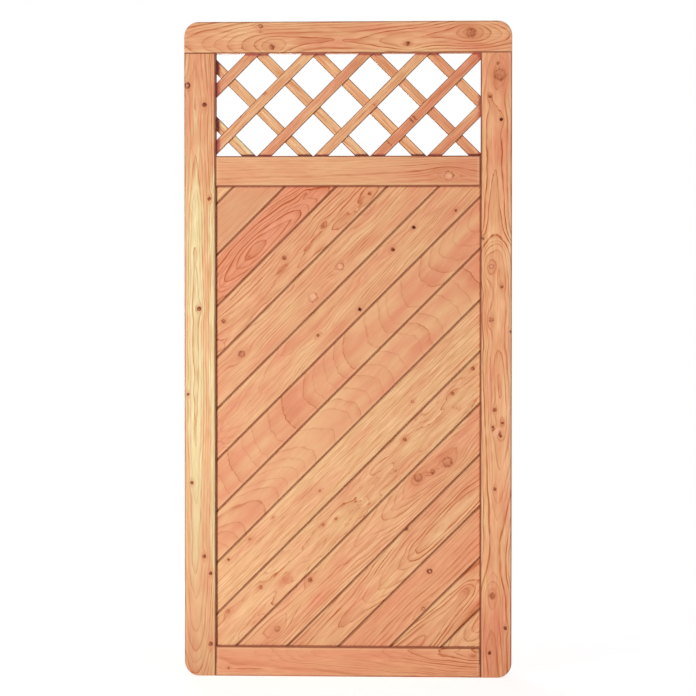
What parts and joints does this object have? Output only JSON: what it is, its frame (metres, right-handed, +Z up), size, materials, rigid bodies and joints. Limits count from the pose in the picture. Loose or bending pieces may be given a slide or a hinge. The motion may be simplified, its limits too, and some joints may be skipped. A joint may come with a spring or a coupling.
{
  "type": "privacy fence panel",
  "caption": "Timber fence panel: a rounded frame-and-panel frame with diagonal tongue-and-groove boards and a crossed-slat lattice window above a middle rail.",
  "frame": {"origin": "middle of the panel's foot, on the ground, in the middle of its thickness", "axes": "+X along the width to the right as seen from the front, -Y out of the front, +Z up"},
  "size_m": [0.9, 0.045, 1.8],
  "materials": {
    "frame_larch": "planed larch, oiled, satin",
    "board_larch": "planed larch, oiled, satin",
    "slat_larch": "planed larch, oiled, satin",
    "stainless_steel": "plain stainless screw steel"
  },
  "bodies": {
    "root": {"left_stile": "frame_larch", "right_stile": "frame_larch", "top_rail": "frame_larch", "middle_rail": "frame_larch", "bottom_rail": "frame_larch", "infill_board_01": "board_larch", "infill_board_02": "board_larch", "infill_board_03": "board_larch", "infill_board_04": "board_larch", "infill_board_05": "board_larch", "infill_board_06": "board_larch", "infill_board_07": "board_larch", "infill_board_08": "board_larch", "infill_board_09": "board_larch", "infill_board_10": "board_larch", "infill_board_11": "board_larch", "infill_board_12": "board_larch", "infill_board_13": "board_larch", "infill_board_14": "board_larch", "infill_board_15": "board_larch", "front_slat_1": "slat_larch", "front_slat_2": "slat_larch", "front_slat_3": "slat_larch", "front_slat_4": "slat_larch", "front_slat_5": "slat_larch", "front_slat_6": "slat_larch", "back_slat_1": "slat_larch", "back_slat_2": "slat_larch", "back_slat_3": "slat_larch", "back_slat_4": "slat_larch", "back_slat_5": "slat_larch", "back_slat_6": "slat_larch", "screw_top_left_1": "stainless_steel", "screw_top_left_2": "stainless_steel", "screw_top_right_1": "stainless_steel", "screw_top_right_2": "stainless_steel", "screw_middle_left_1": "stainless_steel", "screw_middle_left_2": "stainless_steel", "screw_middle_right_1": "stainless_steel", "screw_middle_right_2": "stainless_steel", "screw_bottom_left_1": "stainless_steel", "screw_bottom_left_2": "stainless_steel", "screw_bottom_right_1": "stainless_steel", "screw_bottom_right_2": "stainless_steel"}
  },
  "joints": []
}
